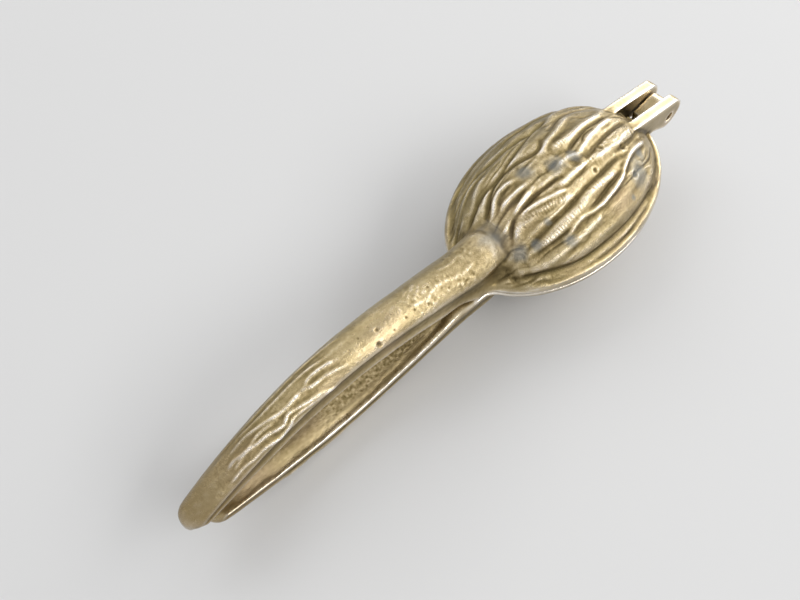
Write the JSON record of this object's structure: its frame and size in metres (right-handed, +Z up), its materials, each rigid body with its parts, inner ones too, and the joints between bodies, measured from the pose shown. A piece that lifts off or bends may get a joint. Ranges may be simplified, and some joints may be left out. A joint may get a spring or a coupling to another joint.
{
  "type": "lever nutcracker",
  "caption": "Cast brass lever nutcracker in the shape of a walnut on a twig: two hollow half-walnut arms hinged on a pin at the far end.",
  "frame": {"origin": "under the middle of the closed tool held level, at the height of the lowest point of the lower shell", "axes": "+X along the tool towards the hinge, +Y along the hinge pin, +Z up, from the lower arm to the upper arm"},
  "size_m": [0.15, 0.0406, 0.0307],
  "materials": {
    "cast_brass": "aged, worn bright on the high places and dull olive brown in the hollows",
    "pin_metal": "dull and dark"
  },
  "bodies": {
    "lower": {"lower_arm": "cast_brass"},
    "upper": {"upper_arm": "cast_brass", "hinge_pin": "pin_metal"}
  },
  "joints": [
    {"name": "hinge", "type": "hinge", "parent": "lower", "child": "upper", "pos_m": [0.071, 0, 0.01535], "axis": [0, 1, 0], "range_deg": [0, 180]}
  ]
}
